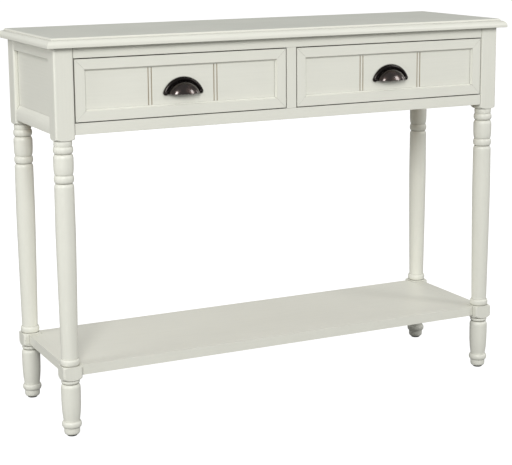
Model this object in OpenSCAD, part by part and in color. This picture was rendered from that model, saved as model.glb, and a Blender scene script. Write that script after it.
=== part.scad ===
// Console table: two drawers under a moulded top, four turned legs and a low shelf.
// Millimetres. X runs left to right, the front faces -Y and Z is up.
// The origin is on the floor, under the centre of the top.

/* [Overall size] */
// Height from the floor to the top surface
table_h = 800; // [760:5:860]
// Width of the top board, left to right
table_w = 1054; // [940:2:1240]
// Depth of the top board, front to back
table_d = 338; // [326:2:400]

/* [Top board] */
// Thickness of the top board
top_t = 19; // [18:0.5:22]
// How far the top reaches past the legs on every side
overhang = 16; // [14:1:24]
// Radius of the round part of the edge moulding
mould_r = 10; // [8:0.5:11]

/* [Legs] */
// Side of the square stock that each leg is turned from
leg_sq = 40; // [38:1:44]
// Radius on the upright edges of the square blocks
block_edge_r = 4; // [1:0.5:5]
// Height of the black glide under each foot
glide_h = 3; // [2:0.5:5]

/* [Apron] */
// Height of the rails and aprons below the top
apron_h = 170; // [160:2:190]
// How far the leg blocks hang below the apron
block_drop = 10.5; // [5:0.5:12]
// Thickness of the rails and the back apron
rail_t = 18; // [16:1:20]
// Height of the front top rail
top_rail_h = 21.5; // [20:0.5:26]
// Height of the front bottom rail
bottom_rail_h = 22.5; // [20:0.5:26]
// Width of the upright between the drawers
stile_w = 22; // [20:1:30]
// How far the rails are set back from the leg faces
reveal = 1.5; // [0.5:0.5:3]

/* [Side panels] */
// How far each side panel is set back from its rails
side_recess = 8; // [5:1:9]
// Height of the side top rails
side_top_rail_h = 24; // [20:1:28]
// Height of the sloped ledge along the bottom of each side panel
ledge_h = 13.5; // [8:0.5:20]
// Height of the flat face below that ledge
side_face_h = 17.5; // [12:0.5:20]

/* [Drawers] */
// Gap around each drawer front
front_gap = 2; // [1.5:0.5:3]
// Width of the mitred frame on the drawer front
frame_w = 23.5; // [21:0.5:28]
// Width of the cove moulding along the inner edge of that frame
frame_mould_w = 3; // [2:0.5:7]
// Distance between the two pairs of grooves in the panel
groove_span = 142; // [120:1:160]
// Thickness of the drawer front
frame_t = 18; // [16:1:19]
// How far the panel is set back in its frame
panel_recess = 6; // [4:1:8]
// Thickness of the drawer box boards
box_t = 12; // [10:1:14]
// Thickness of the drawer bottom
bottom_t = 5; // [4:0.5:6]

/* [Cup pulls] */
// Distance between the two screws of a pull
pull_spacing = 76; // [70:1:90]
// How far a pull stands out from its panel at the deepest point
pull_depth = 24; // [20:1:25]
// Thickness of the cup wall
pull_wall = 2.5; // [2:0.5:3]

/* [Shelf] */
// Height of the shelf's upper face above the floor
shelf_z = 144.5; // [134:0.5:180]
// Thickness of the shelf and its side rails
shelf_t = 20.5; // [18:0.5:22]
// Width of each side rail, left to right
shelf_rail_w = 28; // [22:1:32]
// How far the shelf's long edges are set back from the leg faces
shelf_inset = 14; // [6:1:18]

/* [Hidden] */

$fn = 64;
LEFT = -1;
RIGHT = 1;
FRONT = -1;
BACK = 1;

paint = [0.87, 0.87, 0.83];
top_paint = [0.76, 0.77, 0.74];
bare_wood = [0.80, 0.66, 0.47];
ply = [0.84, 0.72, 0.54];
bronze = [0.14, 0.12, 0.11];
steel = [0.68, 0.68, 0.70];
black = [0.07, 0.07, 0.07];

// Leg grid: leg centres, and the inner faces of the square blocks
leg_x = table_w / 2 - overhang - leg_sq / 2;
leg_y = table_d / 2 - overhang - leg_sq / 2;
leg_r = leg_sq / 2;
inner_x = leg_x - leg_r;
inner_y = leg_y - leg_r;

// Heights
under_top = table_h - top_t;
apron_z = under_top - apron_h;
block_z = apron_z - block_drop;
open_z0 = apron_z + bottom_rail_h;
open_z1 = under_top - top_rail_h;
shelf_z0 = shelf_z - shelf_t;

// Apron planes, measured from the centre: outer and inner faces of the rails
rail_y = leg_y + leg_r - reveal;
rail_inner_y = rail_y - rail_t;
rail_x = leg_x + leg_r - reveal;
rail_inner_x = rail_x - rail_t;
tenon_l = 12;
tenon_t = 8;
tenon_shoulder = 4;

// Drawer fronts
open_w = inner_x - stile_w / 2;
open_x = stile_w / 2 + open_w / 2;
open_z = (open_z0 + open_z1) / 2;
front_w = open_w - 2 * front_gap;
front_h = open_z1 - open_z0 - 2 * front_gap;
panel_lap = 8;
lip_t = 1;
panel_t = frame_t - panel_recess;
panel_play = 1;
panel_y = -rail_y + panel_recess;
groove_w = 2.2;
groove_depth = 1.6;
groove_pitch = 6.8;

// Drawer box
side_play = 0.7;
slide_play = 0.4;
box_inset = 4.5;
box_x0 = stile_w / 2 + box_inset;
box_x1 = inner_x - box_inset;
box_y0 = -rail_y + frame_t;
box_y1 = rail_inner_y - 16;
box_z0 = open_z0 + slide_play;
box_z1 = open_z1 - 8;
floor_z = box_z0 + 8;
floor_groove = 5;
stop_gap = 0.5;

// Runners and guides
runner_h = 18;
runner_edge = 4;
guide_h = 20;

// Cup pull: the cup and its rim turn about an axis square to the panel
lobe_r = 5.25;
lobe_h = 7;
rim_r = 41;
rim_half_w = 5.5;
rim_w = 9;
cup_r = rim_r + rim_half_w - rim_w;
pull_cut = sqrt(rim_r * rim_r - pull_spacing * pull_spacing / 4);
pull_z = open_z - (pull_cut - lobe_r + rim_r + rim_half_w) / 2 - 2.5;
pull_screw_r = 2;
pull_thread_depth = 5;

// Screws
wood_screw_r = 2;
screw_head_r = 4;
screw_head_h = 3;
top_bite = 12;
front_bite = panel_t - 3;
front_screw_dx = 150;
front_screw_dz = 38;

// Dowels between the shelf, its side rails and the legs
dowel_r = 4;
dowel_l = 30;
dowel_in_end = 12;
dowel_z = shelf_z0 + shelf_t / 2;

// ---------- Shared shapes ----------

// Box between two opposite corners
module block(low, high) {
  translate(low) cube(high - low);
}

// Builds on the right-hand side, or mirrored on the left
module on_side(side) {
  mirror([side < 0 ? 1 : 0, 0, 0]) children();
}

// Square with rounded corners, centred
module rounded_square(size, r) {
  square([size - 2 * r, size], center = true);
  square([size, size - 2 * r], center = true);
  for (sx = [-1, 1], sy = [-1, 1])
    translate([sx, sy] * (size / 2 - r)) circle(r);
}

// Points on an arc of an ellipse, from one angle to another
function arc(centre, rx, ry, from, to, steps = 8) = [
  for (i = [0:steps])
    let (a = from + (to - from) * i / steps)
    [centre[0] + rx * cos(a), centre[1] + ry * sin(a)]
];

// Points of a half-round bead between two heights
function bead(z0, z1, r_in, r_out) =
  arc([r_in, (z0 + z1) / 2], r_out - r_in, (z1 - z0) / 2, -90, 90);

// ---------- Top board ----------

// Section through the top: lip, round moulding, small step and flat top
module top_section(width) {
  lip_h = 4.5;
  edge_r = 1;
  step_in = mould_r + 0.8;
  top_edge_r = 3;
  half = width / 2;
  translate([-half + edge_r, 0]) square([width - 2 * edge_r, lip_h]);
  translate([-half, edge_r]) square([width, lip_h - edge_r]);
  for (s = [-1, 1]) {
    translate([s * (half - edge_r), edge_r]) circle(edge_r);
    intersection() {
      translate([s * (half - mould_r), lip_h]) circle(mould_r);
      translate([-half, 0]) square([width, top_t]);
    }
    translate([s * (half - step_in - top_edge_r), top_t - top_edge_r]) circle(top_edge_r);
  }
  translate([-half + mould_r, 0]) square([width - 2 * mould_r, lip_h + mould_r]);
  translate([-half + step_in, 0]) square([width - 2 * step_in, top_t - top_edge_r]);
  translate([-half + step_in + top_edge_r, 0])
    square([width - 2 * (step_in + top_edge_r), top_t]);
}

// Places of the screws that hold the top: three along each kicker
module at_top_screws() {
  for (x = [-1, 0, 1], y = [-1, 0, 1])
    translate([x * (inner_x + 4), y * (inner_y - 14), 0]) children();
}

module table_top() {
  color(top_paint) difference() {
    translate([0, 0, under_top]) intersection() {
      rotate([90, 0, 0]) linear_extrude(table_d, center = true) top_section(table_w);
      rotate([90, 0, 90]) linear_extrude(table_w, center = true) top_section(table_d);
    }
    at_top_screws() translate([0, 0, under_top - 1]) cylinder(r = wood_screw_r, h = top_bite + 1);
  }
}

module top_screws() {
  color(steel) at_top_screws() {
    translate([0, 0, open_z1 - screw_head_h]) cylinder(r = screw_head_r, h = screw_head_h);
    translate([0, 0, open_z1 - 1]) cylinder(r = wood_screw_r, h = top_rail_h + top_bite + 1);
  }
}

// ---------- Legs ----------

foot_top = shelf_z0 - 14.5;
low_block_z0 = shelf_z0 - 6;
low_block_z1 = shelf_z + 2.5;
collar_z1 = low_block_z1 + 14;
shaft_top = block_z - 84.5;

max_r = leg_r - 0.1;
waist_r = leg_r * 0.835;
neck_r = leg_r * 0.87;
foot_waist_r = leg_r * 0.82;
glide_r = 10.3;
glide_pin_r = 1.5;
glide_pin_l = 14;

// Radius of the main shaft, which swells from its waist to a peak in its upper part
function shaft_r(z) =
  let (peak = collar_z1 + 0.72 * (shaft_top - collar_z1),
       u = abs(z - peak) / (peak - collar_z1))
  max_r - (z < peak ? 1 : 0.5) * (max_r - waist_r) * pow(u, 1.25);

// Radius of the foot's shaft, which widens quickly from the ring and then stands nearly straight
function foot_r(t) = max_r - 0.3 - (max_r - 0.3 - foot_waist_r) * pow(1 - t, 3.5);

// Outline of the turned foot, from the glide to the lower block
foot_outline = concat(
  [[0, glide_h], [glide_r + 0.5, glide_h]],
  arc([foot_waist_r - 5.4, glide_h + 6.5], 5, 6.5, -80, 0, 6),
  [[foot_waist_r - 0.4, glide_h + 14.5]],
  bead(glide_h + 15, glide_h + 28, foot_waist_r, max_r),
  [for (i = [0:10]) [foot_r(i / 10), glide_h + 30.5 + (foot_top - 39.5 - glide_h) * i / 10]],
  arc([max_r - 6.3, foot_top - 9], 6, 9, 10, 80, 6),
  [[neck_r - 1.5, foot_top + 0.5]],
  bead(foot_top + 1, low_block_z0 - 1, neck_r - 0.5, neck_r + 1.2),
  [[neck_r - 1, low_block_z0 - 0.5], [neck_r, low_block_z0 + 2], [0, low_block_z0 + 2]]
);

// Outline of the turned part between the two square blocks
shaft_outline = concat(
  [[0, low_block_z1 - 2], [neck_r, low_block_z1 - 2], [neck_r, low_block_z1 + 0.5]],
  arc([neck_r, low_block_z1 + 6.5], max_r - neck_r, 6, -90, 0, 5),
  arc([waist_r + 0.3, low_block_z1 + 8], max_r - waist_r - 0.3, 6, 0, 90, 6),
  [for (i = [0:16]) let (z = collar_z1 + (shaft_top - 10 - collar_z1) * i / 16) [shaft_r(z), z]],
  arc([max_r - 5, shaft_top - 9], 4.6, 9, 10, 80, 6),
  [[neck_r - 0.4, shaft_top + 0.5]],
  bead(shaft_top + 1, shaft_top + 15.6, neck_r, max_r),
  [[neck_r - 0.4, shaft_top + 16.4]],
  arc([neck_r, shaft_top + 36], max_r - neck_r, 19, -85, 0, 7),
  arc([max_r - 5, shaft_top + 49], 5, 9, 0, 80, 6),
  [[neck_r - 0.4, shaft_top + 58.6]],
  bead(shaft_top + 59.4, shaft_top + 72.4, neck_r, max_r),
  [[neck_r, shaft_top + 73]],
  bead(shaft_top + 73.6, shaft_top + 83.6, neck_r, max_r - 1.6),
  [[neck_r + 0.3, block_z - 0.5], [neck_r + 0.3, block_z + 2], [0, block_z + 2]]
);

// Square block of the leg, its corners turned off towards its ends
module leg_block(z0, z1, low_round, high_round) {
  corner_r = leg_r * sqrt(2);
  end_r = neck_r + 0.5;
  intersection() {
    translate([0, 0, z0]) linear_extrude(z1 - z0) rounded_square(leg_sq, block_edge_r);
    rotate_extrude() polygon(concat(
      [[0, z0], [end_r, z0]],
      low_round > 0 ? arc([end_r, z0 + low_round], corner_r - end_r, low_round, -80, 0)
                    : [[corner_r, z0]],
      high_round > 0 ? arc([end_r, z1 - high_round], corner_r - end_r, high_round, 0, 80)
                     : [[corner_r, z1]],
      high_round > 0 ? [[end_r, z1]] : [],
      [[0, z1]]
    ));
  }
}

// Sockets for the tenons and dowels that come into the right back leg, mirrored for the others
module leg_sockets() {
  tenon_y = (rail_y + rail_inner_y) / 2;
  tenon_x = (rail_x + rail_inner_x) / 2;
  side_tenon(tenon_x, side_rail_z0 + tenon_shoulder, side_rail_z1 - tenon_shoulder);
  side_tenon(tenon_x, side_panel_z1 + tenon_shoulder, under_top - tenon_shoulder);
  side_tenon(leg_x - 6, shelf_z0 + tenon_shoulder, shelf_z - tenon_shoulder);
  translate([inner_x, leg_y, dowel_z]) rotate([0, 90, 0])
    cylinder(r = dowel_r, h = 2 * dowel_in_end, center = true);
}

// Tenon that runs along Y into the right back leg
module side_tenon(x, z0, z1) {
  block([x - tenon_t / 2, inner_y - 1, z0], [x + tenon_t / 2, inner_y + tenon_l, z1]);
}

// Tenon that runs along X into a right leg; sy is the leg's row
module end_tenon(sy, z0, z1) {
  y = sy * (rail_y + rail_inner_y) / 2;
  block([inner_x - 1, y - tenon_t / 2, z0], [inner_x + tenon_l, y + tenon_t / 2, z1]);
}

side_rail_z0 = apron_z;
side_rail_z1 = apron_z + side_face_h + ledge_h;
side_panel_z1 = under_top - side_top_rail_h;

// One leg. sx and sy give its corner
module leg(sx, sy) {
  color(paint) on_side(sx) difference() {
    translate([leg_x, sy * leg_y, 0]) difference() {
      union() {
        rotate_extrude() polygon(foot_outline);
        rotate_extrude() polygon(shaft_outline);
        leg_block(low_block_z0, low_block_z1, 15, 5);
        leg_block(block_z, under_top, 9, 0);
      }
      cylinder(r = glide_pin_r, h = glide_h + glide_pin_l);
    }
    mirror([0, sy < 0 ? 1 : 0, 0]) leg_sockets();
    if (sy == FRONT) {
      end_tenon(sy, apron_z + tenon_shoulder, open_z0 - tenon_shoulder);
      end_tenon(sy, open_z1 + tenon_shoulder, under_top - tenon_shoulder);
    } else {
      end_tenon(sy, apron_z + 2 * tenon_shoulder, under_top - 2 * tenon_shoulder);
    }
  }
}

module leg_front_left() { leg(LEFT, FRONT); }
module leg_front_right() { leg(RIGHT, FRONT); }
module leg_back_left() { leg(LEFT, BACK); }
module leg_back_right() { leg(RIGHT, BACK); }

// Round nail-on glides, one under each foot
module foot_glides() {
  color(black)
    for (sx = [-1, 1], sy = [-1, 1]) translate([sx * leg_x, sy * leg_y, 0]) {
      rotate_extrude() polygon(concat(
        [[0, 0]], arc([glide_r - 1, 1], 1, 1, -90, 0, 4), [[glide_r, glide_h], [0, glide_h]]
      ));
      cylinder(r = glide_pin_r, h = glide_h + glide_pin_l);
    }
}

// ---------- Front rails, stile and back apron ----------

// Rail across the front between the legs, with a tenon at each end
module front_rail(z0, z1) {
  color(paint) difference() {
    union() {
      block([-inner_x, -rail_y, z0], [inner_x, -rail_inner_y, z1]);
      for (s = [LEFT, RIGHT])
        on_side(s) end_tenon(FRONT, z0 + tenon_shoulder, z1 - tenon_shoulder);
    }
    stile_tenon(z0 - 1, z1 + 1);
  }
}

// The stile's tenons pass into both rails as far as the given heights
module stile_tenon(z0, z1) {
  y = -(rail_y + rail_inner_y) / 2;
  tenon_z0 = open_z0 - tenon_l;
  tenon_z1 = open_z1 + tenon_l;
  block([-tenon_t, y - tenon_t / 2, max(z0, tenon_z0)], [tenon_t, y + tenon_t / 2, min(z1, tenon_z1)]);
}

module front_top_rail() { front_rail(open_z1, under_top); }
module front_bottom_rail() { front_rail(apron_z, open_z0); }

module centre_stile() {
  color(paint) {
    block([-stile_w / 2, -rail_y, open_z0], [stile_w / 2, -rail_inner_y, open_z1]);
    stile_tenon(0, table_h);
  }
}

module back_apron() {
  color(paint) {
    block([-inner_x, rail_inner_y, apron_z], [inner_x, rail_y, under_top]);
    for (s = [LEFT, RIGHT])
      on_side(s) end_tenon(BACK, apron_z + 2 * tenon_shoulder, under_top - 2 * tenon_shoulder);
  }
}

// ---------- Side rails and panels ----------

// Tenons at both ends of a side rail
module side_tenons(x, z0, z1) {
  for (s = [0, 1]) mirror([0, s, 0]) side_tenon(x, z0 + tenon_shoulder, z1 - tenon_shoulder);
}

module side_top_rail(side) {
  color(paint) on_side(side) {
    block([rail_inner_x, -inner_y, side_panel_z1], [rail_x, inner_y, under_top]);
    side_tenons((rail_x + rail_inner_x) / 2, side_panel_z1, under_top);
  }
}

// Bottom rail whose outer edge slopes up to the recessed panel
module side_bottom_rail(side) {
  z0 = side_rail_z0;
  color(paint) on_side(side) {
    rotate([90, 0, 0]) linear_extrude(2 * inner_y, center = true) polygon([
      [rail_inner_x, z0], [rail_x, z0], [rail_x, z0 + side_face_h],
      [rail_x - side_recess, side_rail_z1], [rail_inner_x, side_rail_z1]
    ]);
    side_tenons((rail_x + rail_inner_x) / 2, side_rail_z0, side_rail_z1);
  }
}

module side_panel(side) {
  color(paint) on_side(side)
    block([rail_inner_x, -inner_y, side_rail_z1], [rail_x - side_recess, inner_y, side_panel_z1]);
}

module side_top_rail_left() { side_top_rail(LEFT); }
module side_top_rail_right() { side_top_rail(RIGHT); }
module side_panel_left() { side_panel(LEFT); }
module side_panel_right() { side_panel(RIGHT); }
module side_bottom_rail_left() { side_bottom_rail(LEFT); }
module side_bottom_rail_right() { side_bottom_rail(RIGHT); }

// ---------- Drawer runners, guides, kickers and stops ----------

// Strip beside a side panel, notched round both legs. It carries a drawer or stops it tipping
module outer_strip(side, z0, z1) {
  edge = box_x1 - box_t - runner_edge;
  on_side(side) {
    block([edge, -inner_y, z0], [rail_inner_x, inner_y, z1]);
    block([edge, -rail_inner_y, z0], [inner_x, rail_inner_y, z1]);
  }
}

// The same strip for the middle, shared by both drawers
module centre_strip(z0, z1) {
  half = box_x0 + box_t + runner_edge;
  block([-half, -rail_inner_y, z0], [half, rail_inner_y, z1]);
}

// Clearance holes for the screws that pass through a kicker into the top
module top_screw_holes() {
  at_top_screws() translate([0, 0, open_z1 - 1]) cylinder(r = wood_screw_r, h = top_rail_h + 2);
}

module runner_left() { color(bare_wood) outer_strip(LEFT, open_z0 - runner_h, open_z0); }
module runner_right() { color(bare_wood) outer_strip(RIGHT, open_z0 - runner_h, open_z0); }
module runner_centre() { color(bare_wood) centre_strip(open_z0 - runner_h, open_z0); }

module kicker(side) {
  color(bare_wood) difference() {
    outer_strip(side, open_z1, under_top);
    top_screw_holes();
  }
}
module kicker_left() { kicker(LEFT); }
module kicker_right() { kicker(RIGHT); }
module kicker_centre() {
  color(bare_wood) difference() {
    centre_strip(open_z1, under_top);
    top_screw_holes();
  }
}

module outer_guide(side) {
  color(bare_wood) on_side(side)
    block([box_x1 + side_play, -inner_y, open_z0], [rail_inner_x, inner_y, open_z0 + guide_h]);
}
module guide_left() { outer_guide(LEFT); }
module guide_right() { outer_guide(RIGHT); }
module guide_centre() {
  half = box_x0 - side_play;
  color(bare_wood) block([-half, -rail_inner_y, open_z0], [half, rail_inner_y, open_z0 + guide_h]);
}

// Four blocks on the back apron that meet the drawers' backs when they are shut
module drawer_stops() {
  stop_w = 30;
  stop_h = 14;
  color(bare_wood)
    for (s = [LEFT, RIGHT], x = [box_x0 + 60, box_x1 - 60 - stop_w]) on_side(s)
      block([x, box_y1 + stop_gap, open_z], [x + stop_w, rail_inner_y, open_z + stop_h]);
}

// ---------- Shelf ----------

// Places of the dowels: two along each side rail and one at each leg
module at_shelf_dowels() {
  for (s = [LEFT, RIGHT], y = [-leg_y, -inner_y / 2, inner_y / 2, leg_y]) on_side(s)
    translate([inner_x + dowel_in_end - dowel_l, y, dowel_z]) rotate([0, 90, 0]) children();
}

module shelf_panel() {
  half_d = leg_y + leg_r - shelf_inset;
  color(paint) difference() {
    block([-inner_x, -half_d, shelf_z0], [inner_x, half_d, shelf_z]);
    at_shelf_dowels() cylinder(r = dowel_r, h = dowel_l);
  }
}

module shelf_rail(side) {
  color(paint) difference() {
    on_side(side) {
      block([inner_x, -inner_y, shelf_z0], [inner_x + shelf_rail_w, inner_y, shelf_z]);
      side_tenons(leg_x - 6, shelf_z0, shelf_z);
    }
    at_shelf_dowels() cylinder(r = dowel_r, h = dowel_l);
  }
}
module shelf_rail_left() { shelf_rail(LEFT); }
module shelf_rail_right() { shelf_rail(RIGHT); }

module shelf_dowels() {
  color(bare_wood) at_shelf_dowels() cylinder(r = dowel_r, h = dowel_l);
}

// ---------- Drawer fronts ----------

// One piece of the mitred frame, lying along X with its outer edge at z = 0
module frame_piece(length) {
  mould_d = panel_recess - lip_t;
  intersection() {
    rotate([90, 0, 90]) linear_extrude(length, center = true) polygon(concat(
      [[0, 0], [frame_t, 0], [frame_t, frame_w - panel_lap], [panel_recess, frame_w - panel_lap]],
      [[panel_recess, frame_w]],
      arc([0, frame_w], mould_d, -frame_mould_w, 0, 90)
    ));
    translate([0, frame_t, 0]) rotate([90, 0, 0]) linear_extrude(frame_t) polygon([
      [-length / 2, 0], [length / 2, 0],
      [length / 2 - frame_w, frame_w], [-length / 2 + frame_w, frame_w]
    ]);
  }
}

// Puts a frame piece in place: turn 0 is the bottom, 180 the top, -90 outer and 90 inner
module placed_frame(side, turn) {
  upright = abs(turn) == 90;
  reach = upright ? front_w / 2 : front_h / 2;
  color(paint) on_side(side)
    translate([open_x, -rail_y, open_z]) rotate([0, turn, 0]) translate([0, 0, -reach])
      frame_piece(upright ? front_h : front_w);
}

// Places of a pull's two screws, on the panel's face
module at_pull_screws() {
  for (s = [-1, 1]) translate([open_x + s * pull_spacing / 2, panel_y, pull_z + pull_cut])
    rotate([-90, 0, 0]) children();
}

// Places of the four screws that join the front to the box, on the box front's inner face
module at_front_screws() {
  for (sx = [-1, 1], sz = [-1, 1])
    translate([open_x + sx * front_screw_dx, box_y0 + box_t, open_z + sz * front_screw_dz])
      rotate([90, 0, 0]) children();
}

// Beadboard panel with two pairs of upright grooves
module drawer_panel(side) {
  half_w = front_w / 2 - frame_w + panel_lap - panel_play;
  half_h = front_h / 2 - frame_w + panel_lap - panel_play;
  color(paint) on_side(side) difference() {
    translate([open_x, panel_y, open_z])
      block([-half_w, 0, -half_h], [half_w, panel_t, half_h]);
    for (s = [-1, 1], g = [-0.5, 0.5])
      translate([open_x + s * groove_span / 2 + g * groove_pitch, panel_y, open_z])
        block([-groove_w / 2, -1, -front_h], [groove_w / 2, groove_depth, front_h]);
    at_pull_screws() translate([0, 0, -1]) cylinder(r = pull_screw_r, h = panel_t + 2);
    at_front_screws() translate([0, 0, box_t - 1]) cylinder(r = wood_screw_r, h = front_bite + 1);
  }
}

// ---------- Drawer boxes ----------

// Space of the drawer bottom, let into the boards round it
module floor_board() {
  block([box_x0 + box_t - floor_groove, box_y0 + box_t - floor_groove, floor_z],
        [box_x1 - box_t + floor_groove, box_y1 - box_t + floor_groove, floor_z + bottom_t]);
}

module drawer_side(side, x0) {
  color(bare_wood) on_side(side) difference() {
    block([x0, box_y0, box_z0], [x0 + box_t, box_y1, box_z1]);
    floor_board();
  }
}

module drawer_box_front(side) {
  color(bare_wood) on_side(side) difference() {
    block([box_x0 + box_t, box_y0, box_z0], [box_x1 - box_t, box_y0 + box_t, box_z1]);
    floor_board();
    at_pull_screws() cylinder(r = pull_screw_r, h = panel_t + box_t + 1);
    at_front_screws() translate([0, 0, -1]) cylinder(r = wood_screw_r, h = box_t + 2);
  }
}

module drawer_back(side) {
  color(bare_wood) on_side(side) difference() {
    block([box_x0 + box_t, box_y1 - box_t, box_z0], [box_x1 - box_t, box_y1, box_z1]);
    floor_board();
  }
}

module drawer_bottom(side) {
  color(ply) on_side(side) floor_board();
}

// ---------- Cup pulls ----------

// Points on a dome that is fuller than an ellipse, from one angle to another
function dome(r, h, from, to, steps = 14) = [
  for (i = [0:steps])
    let (a = from + (to - from) * i / steps)
    [r * pow(cos(a), 0.84), h * pow(sin(a), 0.84)]
];

// Turned sections, in which x is the radius and y the height over the panel
module cup_section() {
  polygon(concat(
    dome(cup_r, pull_depth, 0, 90),
    dome(cup_r - pull_wall, pull_depth - pull_wall, 90, 0)
  ));
}
module rim_section() {
  rim_base = 1.5;
  rim_h = 5.5;
  polygon(concat(
    [[cup_r - 1, 0], [rim_r + rim_half_w, 0]],
    arc([rim_r + rim_half_w - rim_w / 2, rim_base], rim_w / 2, rim_h - rim_base, 0, 180, 12),
    [[cup_r - 1, rim_base]]
  ));
}

// Turns a section about the pull's axis and keeps what lies above a height over that axis
module turned_above(height) {
  reach = rim_r + rim_half_w + 1;
  translate([open_x, panel_y, pull_z]) intersection() {
    rotate([90, 0, 0]) rotate_extrude() children();
    block([-reach, -pull_depth - 1, height], [reach, 1, reach]);
  }
}

module pull(side) {
  cup_drop = 2.5;
  color(bronze) on_side(side) difference() {
    union() {
      turned_above(pull_cut - cup_drop) cup_section();
      turned_above(pull_cut) rim_section();
      at_pull_screws() mirror([0, 0, 1]) rotate_extrude() polygon(concat(
        [[0, 0], [lobe_r, 0]], arc([0, lobe_h - 4], lobe_r, 4, 0, 90)
      ));
    }
    at_pull_screws() translate([0, 0, -pull_thread_depth])
      cylinder(r = pull_screw_r, h = pull_thread_depth + 1);
  }
}

// Machine screws from inside the drawer into the pull
module pull_screws(side) {
  grip = panel_t + box_t;
  color(steel) on_side(side) at_pull_screws() {
    translate([0, 0, -pull_thread_depth]) cylinder(r = pull_screw_r, h = grip + pull_thread_depth + 1);
    translate([0, 0, grip]) cylinder(r = screw_head_r, h = screw_head_h);
  }
}

// Wood screws from inside the drawer into its front
module front_screws(side) {
  color(steel) on_side(side) at_front_screws() {
    translate([0, 0, -screw_head_h]) cylinder(r = screw_head_r, h = screw_head_h);
    translate([0, 0, -1]) cylinder(r = wood_screw_r, h = box_t + front_bite + 1);
  }
}

module drawer_left_panel() { drawer_panel(LEFT); }
module drawer_left_frame_top() { placed_frame(LEFT, 180); }
module drawer_left_frame_bottom() { placed_frame(LEFT, 0); }
module drawer_left_frame_outer() { placed_frame(LEFT, -90); }
module drawer_left_frame_inner() { placed_frame(LEFT, 90); }
module drawer_left_box_front() { drawer_box_front(LEFT); }
module drawer_left_side_outer() { drawer_side(LEFT, box_x1 - box_t); }
module drawer_left_side_inner() { drawer_side(LEFT, box_x0); }
module drawer_left_back() { drawer_back(LEFT); }
module drawer_left_bottom() { drawer_bottom(LEFT); }
module drawer_left_pull() { pull(LEFT); }
module drawer_left_pull_screws() { pull_screws(LEFT); }
module drawer_left_front_screws() { front_screws(LEFT); }
module drawer_right_panel() { drawer_panel(RIGHT); }
module drawer_right_frame_top() { placed_frame(RIGHT, 180); }
module drawer_right_frame_bottom() { placed_frame(RIGHT, 0); }
module drawer_right_frame_outer() { placed_frame(RIGHT, -90); }
module drawer_right_frame_inner() { placed_frame(RIGHT, 90); }
module drawer_right_box_front() { drawer_box_front(RIGHT); }
module drawer_right_side_outer() { drawer_side(RIGHT, box_x1 - box_t); }
module drawer_right_side_inner() { drawer_side(RIGHT, box_x0); }
module drawer_right_back() { drawer_back(RIGHT); }
module drawer_right_bottom() { drawer_bottom(RIGHT); }
module drawer_right_pull() { pull(RIGHT); }
module drawer_right_pull_screws() { pull_screws(RIGHT); }
module drawer_right_front_screws() { front_screws(RIGHT); }

// ---------- Drawing ----------

table_top();
leg_front_left();
leg_front_right();
leg_back_left();
leg_back_right();
foot_glides();
front_top_rail();
front_bottom_rail();
centre_stile();
back_apron();
side_top_rail_left();
side_top_rail_right();
side_panel_left();
side_panel_right();
side_bottom_rail_left();
side_bottom_rail_right();
runner_left();
runner_centre();
runner_right();
guide_left();
guide_centre();
guide_right();
kicker_left();
kicker_centre();
kicker_right();
drawer_stops();
top_screws();
shelf_panel();
shelf_rail_left();
shelf_rail_right();
shelf_dowels();
drawer_left_panel();
drawer_left_frame_top();
drawer_left_frame_bottom();
drawer_left_frame_outer();
drawer_left_frame_inner();
drawer_left_box_front();
drawer_left_side_outer();
drawer_left_side_inner();
drawer_left_back();
drawer_left_bottom();
drawer_left_pull();
drawer_left_pull_screws();
drawer_left_front_screws();
drawer_right_panel();
drawer_right_frame_top();
drawer_right_frame_bottom();
drawer_right_frame_outer();
drawer_right_frame_inner();
drawer_right_box_front();
drawer_right_side_outer();
drawer_right_side_inner();
drawer_right_back();
drawer_right_bottom();
drawer_right_pull();
drawer_right_pull_screws();
drawer_right_front_screws();
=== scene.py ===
"""Finished look of a painted console table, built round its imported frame.

Lengths are metres, and places come from the frame. The boards are eased copies of the frame's own
boards, the legs are turned from square stock, the pulls are cast and the screws are set by rule.
"""

from __future__ import annotations

import logging
import math
from dataclasses import dataclass
from enum import Enum, IntEnum
from typing import ClassVar, Iterable, Sequence

import bmesh
import bpy
from mathutils import Matrix, Quaternion, Vector


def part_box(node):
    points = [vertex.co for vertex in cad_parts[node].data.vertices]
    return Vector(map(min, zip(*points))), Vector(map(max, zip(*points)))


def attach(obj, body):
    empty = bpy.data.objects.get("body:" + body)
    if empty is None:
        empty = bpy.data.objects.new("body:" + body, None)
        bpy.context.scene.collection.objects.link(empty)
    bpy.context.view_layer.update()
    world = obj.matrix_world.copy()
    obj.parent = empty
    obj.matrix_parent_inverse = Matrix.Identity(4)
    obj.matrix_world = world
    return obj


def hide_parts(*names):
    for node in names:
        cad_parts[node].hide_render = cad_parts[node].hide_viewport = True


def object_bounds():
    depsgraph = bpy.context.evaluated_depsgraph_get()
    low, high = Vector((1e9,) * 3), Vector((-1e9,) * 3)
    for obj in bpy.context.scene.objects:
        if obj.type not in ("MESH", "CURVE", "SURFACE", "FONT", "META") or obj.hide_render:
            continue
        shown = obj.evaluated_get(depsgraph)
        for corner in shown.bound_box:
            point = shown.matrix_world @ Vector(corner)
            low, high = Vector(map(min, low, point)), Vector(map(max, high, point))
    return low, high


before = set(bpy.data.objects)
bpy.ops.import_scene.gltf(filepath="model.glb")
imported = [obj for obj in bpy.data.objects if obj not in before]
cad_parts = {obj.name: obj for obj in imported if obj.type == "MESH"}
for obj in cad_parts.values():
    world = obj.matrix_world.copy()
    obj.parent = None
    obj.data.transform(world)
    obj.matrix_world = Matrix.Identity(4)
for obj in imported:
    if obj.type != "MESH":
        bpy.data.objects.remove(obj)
CAD_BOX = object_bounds()

LOG = logging.getLogger("console_table")
MM = 0.001
WELD = 0.01 * MM

Colour = tuple[float, float, float, float]
Point = tuple[float, float]


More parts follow.
